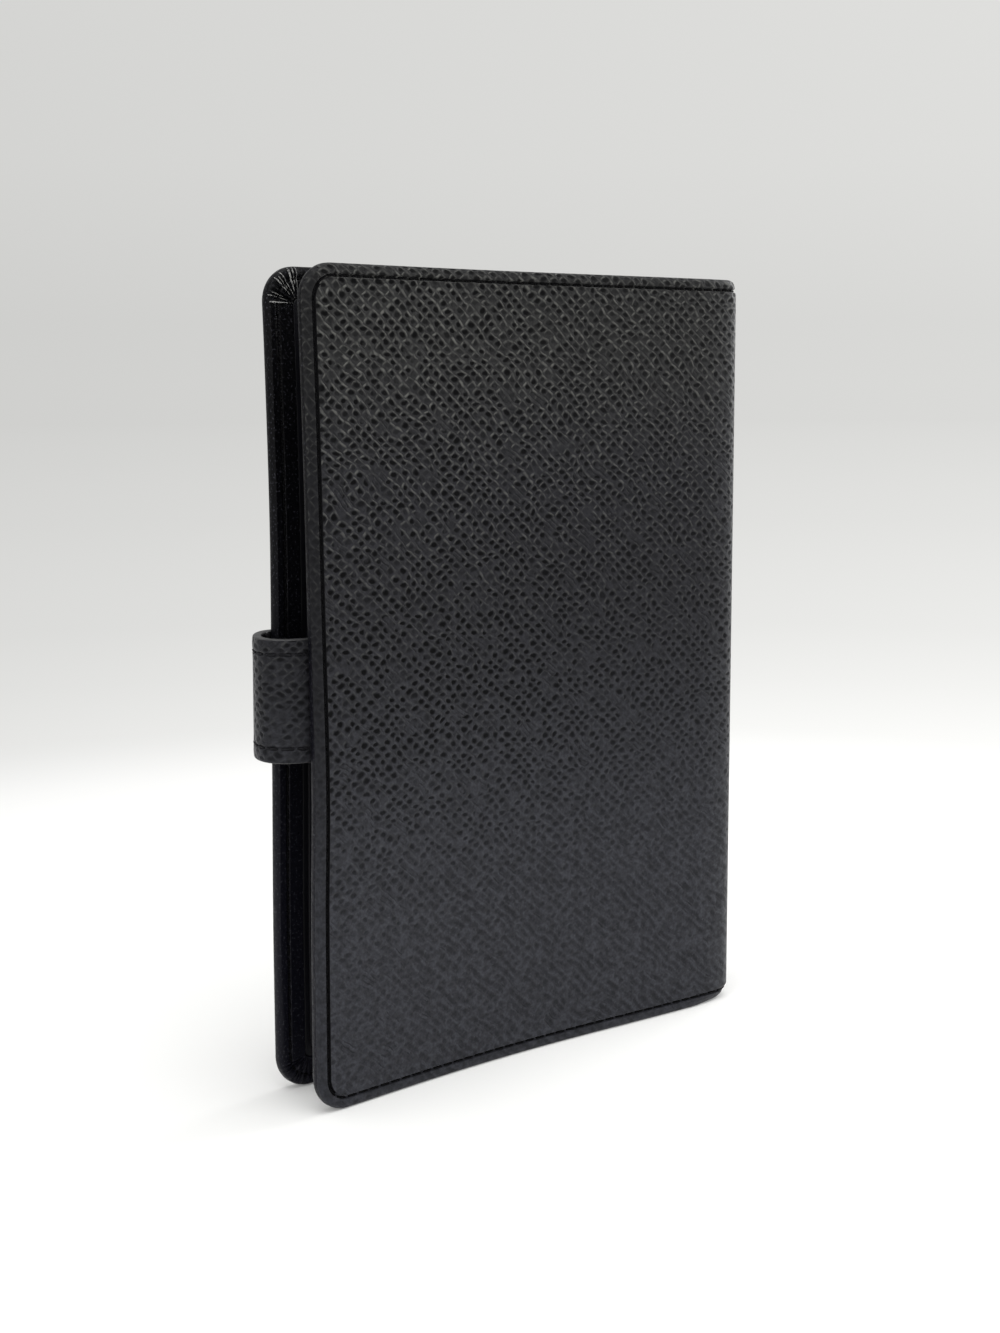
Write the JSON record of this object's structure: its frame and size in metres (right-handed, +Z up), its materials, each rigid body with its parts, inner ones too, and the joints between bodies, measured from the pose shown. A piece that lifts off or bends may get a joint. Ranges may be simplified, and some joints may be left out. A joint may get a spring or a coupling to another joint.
{
  "type": "ring agenda cover",
  "caption": "Small leather ring agenda cover with snap strap, opening covers, sprung ring mechanism, pockets and pen loop.",
  "frame": {"origin": "middle of the footprint, on the surface the closed cover stands on", "axes": "+Z up along the spine, +X towards the spine, -Y the back cover's outer face, +Y the front cover's"},
  "size_m": [0.105, 0.025, 0.14],
  "materials": {
    "grained_leather": "black cross-grain leather, semi-matt",
    "smooth_leather": "smooth black lining leather, low sheen",
    "board": "grey-brown stiffening board",
    "ring_steel": "nickel-plated spring steel",
    "snap_metal": "nickel-plated press stud"
  },
  "bodies": {
    "spine": {"spine_leather": "grained_leather", "spine_board": "board", "spine_lining": "smooth_leather", "ring_housing": "ring_steel", "lower_rivet": "ring_steel", "upper_rivet": "ring_steel"},
    "back_cover": {"back_leather": "grained_leather", "back_board": "board", "back_lining": "smooth_leather", "back_slip_pocket": "smooth_leather", "pen_loop": "smooth_leather", "strap_tab_leather": "grained_leather", "strap_tab_lining": "smooth_leather"},
    "front_cover": {"front_leather": "grained_leather", "front_board": "board", "front_lining": "smooth_leather", "front_slip_pocket": "smooth_leather", "upper_card_pocket": "smooth_leather", "middle_card_pocket": "smooth_leather", "lower_card_pocket": "smooth_leather", "snap_stud": "snap_metal", "stud_post": "snap_metal"},
    "left_rings": {"left_leaf": "ring_steel", "left_ring_half_1": "ring_steel", "left_ring_half_2": "ring_steel", "left_ring_half_3": "ring_steel", "left_ring_half_4": "ring_steel", "left_ring_half_5": "ring_steel", "left_ring_half_6": "ring_steel"},
    "right_rings": {"right_leaf": "ring_steel", "right_ring_half_1": "ring_steel", "right_ring_half_2": "ring_steel", "right_ring_half_3": "ring_steel", "right_ring_half_4": "ring_steel", "right_ring_half_5": "ring_steel", "right_ring_half_6": "ring_steel"},
    "strap_loop": {"strap_loop_leather": "grained_leather", "strap_loop_lining": "smooth_leather"},
    "strap_flap": {"strap_flap_leather": "grained_leather", "strap_flap_lining": "smooth_leather", "snap_socket": "snap_metal", "snap_cap": "snap_metal"}
  },
  "joints": [
    {"name": "back_cover_hinge", "type": "hinge", "parent": "spine", "child": "back_cover", "pos_m": [0.05105, -0.01108, 0.07], "axis": [0, 0, 1], "range_deg": [0, 91.78]},
    {"name": "front_cover_hinge", "type": "hinge", "parent": "spine", "child": "front_cover", "pos_m": [0.05105, 0.00799, 0.07], "axis": [0, 0, -1], "range_deg": [0, 91.78]},
    {"name": "left_rings_hinge", "type": "hinge", "parent": "spine", "child": "left_rings", "pos_m": [0.04802, -0.00714, 0.07], "axis": [0, 0, 1], "range_deg": [0, 16]},
    {"name": "right_rings_hinge", "type": "hinge", "parent": "spine", "child": "right_rings", "pos_m": [0.04802, 0.00406, 0.07], "axis": [0, 0, 1], "range_deg": [-16, 0]},
    {"name": "strap_root_hinge", "type": "hinge", "parent": "back_cover", "child": "strap_loop", "pos_m": [-0.048, -0.00648, 0.07], "axis": [0, 0, 1], "range_deg": [0, 70]},
    {"name": "strap_flap_hinge", "type": "hinge", "parent": "strap_loop", "child": "strap_flap", "pos_m": [-0.04498, 0.00832, 0.07], "axis": [0, 0, 1], "range_deg": [0, 110]}
  ],
  "couplings": [
    {"joint": "right_rings_hinge", "follows": "left_rings_hinge", "ratio": -1}
  ]
}
